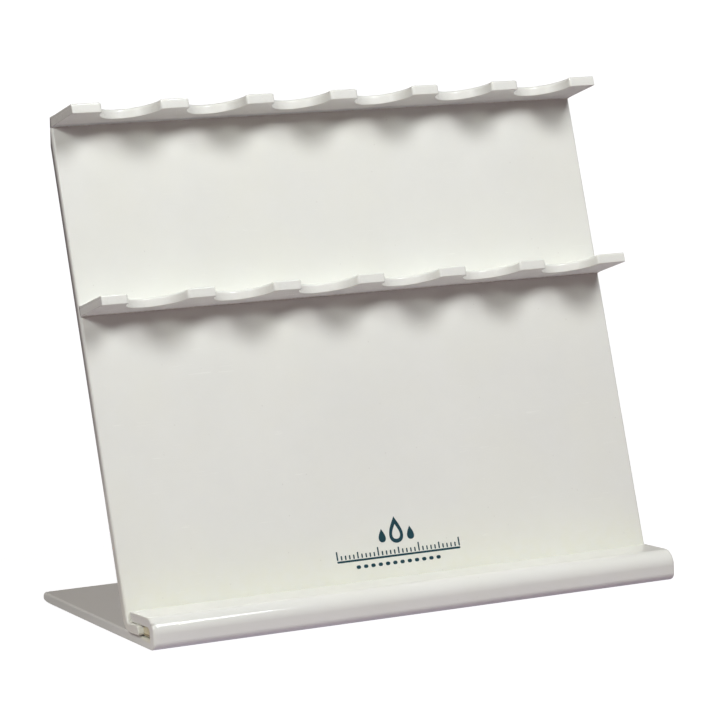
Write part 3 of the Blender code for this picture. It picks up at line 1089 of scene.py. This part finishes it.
dress(base, base_white, "acrylic", "base_plate")
dress(panel, panel_white, "acrylic", "back_panel")
dress(top, top_white, "acrylic", "top_shelf")
dress(middle, middle_white, "acrylic", "middle_shelf")
dress(bead, old_cement, "cement", "lip_cement")
dress(film_top, clear_cement, "cement", "top_shelf_cement")
dress(film_middle, clear_cement, "cement", "middle_shelf_cement")
for mark in marks:
    dress(mark, ink, "ink")

# ------------------------------------------------------------------ floor
FLOOR_SEEN = (rgb(0.28, 0.28, 0.28), rgb(0.30, 0.30, 0.295))  # two tones, to the camera
FLOOR_BOUNCE = rgb(0.260, 0.193, 0.207)  # colour to every other ray
FLOOR_GLOW = rgb(0.90, 0.90, 0.90)  # glow to the camera
BACKDROP = 1.05  # strength of the plain white far away
# weak glow that lights the stand
GLOW_FRONT, GLOW_BACK = rgb(0.012, 0.006, 0.010), rgb(0.025, 0.034, 0.038)
GLOW_STRIP = rgb(0.118, 0.103, 0.138)
GLOW_LIP = rgb(0.26, 0.27, 0.34)
GLOW_BEHIND = rgb(0.80, 0.80, 0.77)
GLOW_RIGHT = rgb(0.75, 0.75, 0.73)
GLOW_LEFT = rgb(0.24, 0.25, 0.25)


def floor_glow(n, part):
    """Patches of glow round the stand, as the stand receives them."""
    x, y = part[0], part[1]
    glow = n.mix(n.ramp(y, span=(-60.0, 60.0)), GLOW_FRONT, GLOW_BACK)
    # a broad strip in front of and under the lip, weaker to the right
    strip = n.times(
        n.band(y, rise=(FRONT - 70.0, FRONT - 8.0), fall=(FRONT + 3.0, FRONT + 12.0)),
        n.fade(n.size_of(x), span=(150.0, 190.0)),
    )
    rightward = n.ramp(x, span=(-150.0, 150.0), to=(0.96, 0.60))
    glow = n.mix(n.times(strip, rightward), glow, GLOW_STRIP)
    # a narrow one along the lip's front
    lip = n.times(
        n.band(y, rise=(FRONT - 4.0, FRONT - 2.0), fall=(FRONT + 2.0, FRONT + 4.0)),
        n.fade(n.size_of(x), span=(150.0, 156.0)),
    )
    glow = n.mix(n.times(lip, rightward), glow, GLOW_LIP)
    behind = n.times(
        n.band(y, rise=(72.0, 100.0), fall=(330.0, 450.0)),
        n.fade(n.size_of(x), span=(150.0, 185.0)),
    )
    glow = n.mix(behind, glow, GLOW_BEHIND)
    right_side = n.times(
        n.band(x, rise=(156.0, 175.0), fall=(300.0, 380.0)),
        n.band(y, rise=(-30.0, 10.0), fall=(180.0, 260.0)),
    )
    glow = n.mix(right_side, glow, GLOW_RIGHT)
    left_side = n.times(
        n.band(x, rise=(-HALF - 45.0, -HALF - 5.0), fall=(-HALF + 1.0, -HALF + 4.0)),
        n.ramp(y, span=(FRONT - 30.0, FRONT + 130.0), to=(1.0, 0.22)),
        n.ramp(y, span=(FRONT - 60.0, FRONT - 30.0)),
    )
    return n.mix(left_side, glow, GLOW_LEFT)


def floor_finish():
    material = bpy.data.materials.new("pale_floor")
    n = Nodes(material)
    co = n.coords()
    part = n.split(co)
    soft = n.ramp(n.noise(co, per_mm=1 / 120, detail=3.0), span=(0.3, 0.7))
    seen_colour = n.mix(soft, *FLOOR_SEEN)
    camera_ray = n.add("ShaderNodeLightPath").outputs["Is Camera Ray"]
    colour = n.mix(camera_ray, FLOOR_BOUNCE, seen_colour)
    diffuse = n.add("ShaderNodeBsdfDiffuse", Color=colour)
    glow_colour = n.mix(camera_ray, floor_glow(n, part), FLOOR_GLOW)
    glow = n.add("ShaderNodeEmission", Color=glow_colour, Strength=1.0)
    both = n.add("ShaderNodeAddShader", diffuse, glow)
    # far away, the camera sees plain white
    plain = n.add("ShaderNodeEmission", Color=rgb(1, 1, 1), Strength=BACKDROP)
    reach = n.add("ShaderNodeVectorMath", co, operation="LENGTH").outputs["Value"]
    far = n.times(n.ramp(reach, span=(330.0, 900.0)), camera_ray)
    surface = n.add("ShaderNodeMixShader", far, both, plain)
    n.add("ShaderNodeOutputMaterial", Surface=surface)
    return material


def build_floor():
    bm = bmesh.new()
    bmesh.ops.create_circle(bm, cap_ends=True, radius=6.0, segments=96)
    for vertex in bm.verts:
        vertex.co.z = -0.00002
    floor = mesh_object("studio_floor", bm)
    floor.data.materials.append(floor_finish())


build_floor()

# ------------------------------------------------------------------ room
# A dim room, its light mostly from the left and from behind.
# Axis (0 = X, 1 = Y), the way along it, upper half or lower, light
ROOM = (
    (0, -1.0, "upper", (0.460, 0.350, 0.365)),
    (1, 1.0, "lower", (0.291, 0.250, 0.243)),
    (1, 1.0, "upper", (0.035, 0.034, 0.035)),
    (0, 1.0, "upper", (0.060, 0.058, 0.060)),
    (0, 1.0, "lower", (0.040, 0.040, 0.041)),
)
RIGHT_WALL = (0.36, 0.355, 0.35)  # a low pale wall straight to the right
RIGHT_WALL_NARROWING = 4.0


def build_world():
    """White to the camera, the dim room to every other ray."""
    world = bpy.data.worlds.new("studio")
    scene.world = world
    n = Nodes(world)
    seen = n.add("ShaderNodeBackground", Color=rgb(1, 1, 1), Strength=BACKDROP)
    facing = n.split(n.add("ShaderNodeTexCoord").outputs["Generated"])
    across = n.plus(n.times(facing[0], facing[0]), 1e-6)
    across = n.plus(across, n.times(facing[1], facing[1]))
    upper = n.ramp(facing[2], span=(0.25, 0.65))
    heights = {"upper": upper, "lower": n.minus(1.0, upper)}

    def quarter(axis, sign, height):
        """The part of the room that lies one way, 0..1."""
        way = n.maths("MAXIMUM", n.times(facing[axis], sign), 0.0)
        return n.times(n.maths("DIVIDE", n.times(way, way), across), height)

    total = reduce(
        lambda a, b: n.vectors("ADD", a, b).outputs[0],
        (n.scaled(tint, quarter(axis, sign, heights[half])) for axis, sign, half, tint in ROOM),
    )
    narrow = n.maths("POWER", quarter(0, 1.0, 1.0), RIGHT_WALL_NARROWING)
    wall = n.scaled(RIGHT_WALL, n.times(narrow, heights["lower"]))
    fill = n.add("ShaderNodeBackground", Color=n.vectors("ADD", total, wall), Strength=1.0)
    camera_ray = n.add("ShaderNodeLightPath").outputs["Is Camera Ray"]
    choose = n.add("ShaderNodeMixShader", camera_ray, fill, seen)
    n.add("ShaderNodeOutputWorld", Surface=choose)


build_world()

# ------------------------------------------------------------------ lights and camera
# Light and camera distances are in metres.
AIM = Vector((0.0, 0.0, 0.12))


def from_angles(azimuth, elevation):
    """The way out to a place; azimuth 0 is in front of the stand and grows to its right."""
    return Vector((
        math.sin(azimuth) * math.cos(elevation),
        -math.cos(azimuth) * math.cos(elevation),
        math.sin(elevation),
    ))


def soft_light(name, azimuth, elevation, distance, width, height, power, colour):
    """An oval soft light turned to AIM."""
    direction = from_angles(math.radians(azimuth), math.radians(elevation))
    data = bpy.data.lights.new(name, "AREA")
    data.shape = "ELLIPSE"
    data.size = width
    data.size_y = height
    data.energy = power
    data.color = colour
    obj = bpy.data.objects.new(name, data)
    scene.collection.objects.link(obj)
    obj.location = AIM + direction * distance
    obj.rotation_euler = direction.to_track_quat("Z", "Y").to_euler()


soft_light(
    "key", azimuth=19.25, elevation=49.9, distance=1.480, width=0.658, height=0.646,
    power=14.1, colour=(0.986, 0.998, 1.014),
)
soft_light(
    "side", azimuth=-55.65, elevation=32.8, distance=1.690, width=0.430, height=0.498,
    power=11.7, colour=(0.978, 1.022, 1.005),
)


def build_camera(azimuth, elevation, roll, target, distance, lens):
    """A camera out from target (in millimetres), from the front left and a little above."""
    back = from_angles(math.radians(azimuth), math.radians(elevation))
    roll = math.radians(roll)
    level_right = (-back).cross(Vector((0, 0, 1))).normalized()
    level_up = level_right.cross(-back)
    right = level_right * math.cos(roll) + level_up * math.sin(roll)
    up = -level_right * math.sin(roll) + level_up * math.cos(roll)
    data = bpy.data.cameras.new("camera")
    data.sensor_width = 36.0
    data.lens = lens
    camera = bpy.data.objects.new("camera", data)
    scene.collection.objects.link(camera)
    place = Vector([mm(c) for c in target]) + back * distance
    rows = [[right[i], up[i], back[i], place[i]] for i in range(3)]
    camera.matrix_world = Matrix(rows + [[0, 0, 0, 1]])
    scene.camera = camera


build_camera(
    azimuth=-28.60590, elevation=8.44978, roll=-0.94046,
    target=(-4.918, -16.0, 121.433), distance=1.718926, lens=169.0856,
)
scene.view_settings.view_transform = "Standard"
scene.view_settings.look = "None"

bpy.context.view_layer.update()
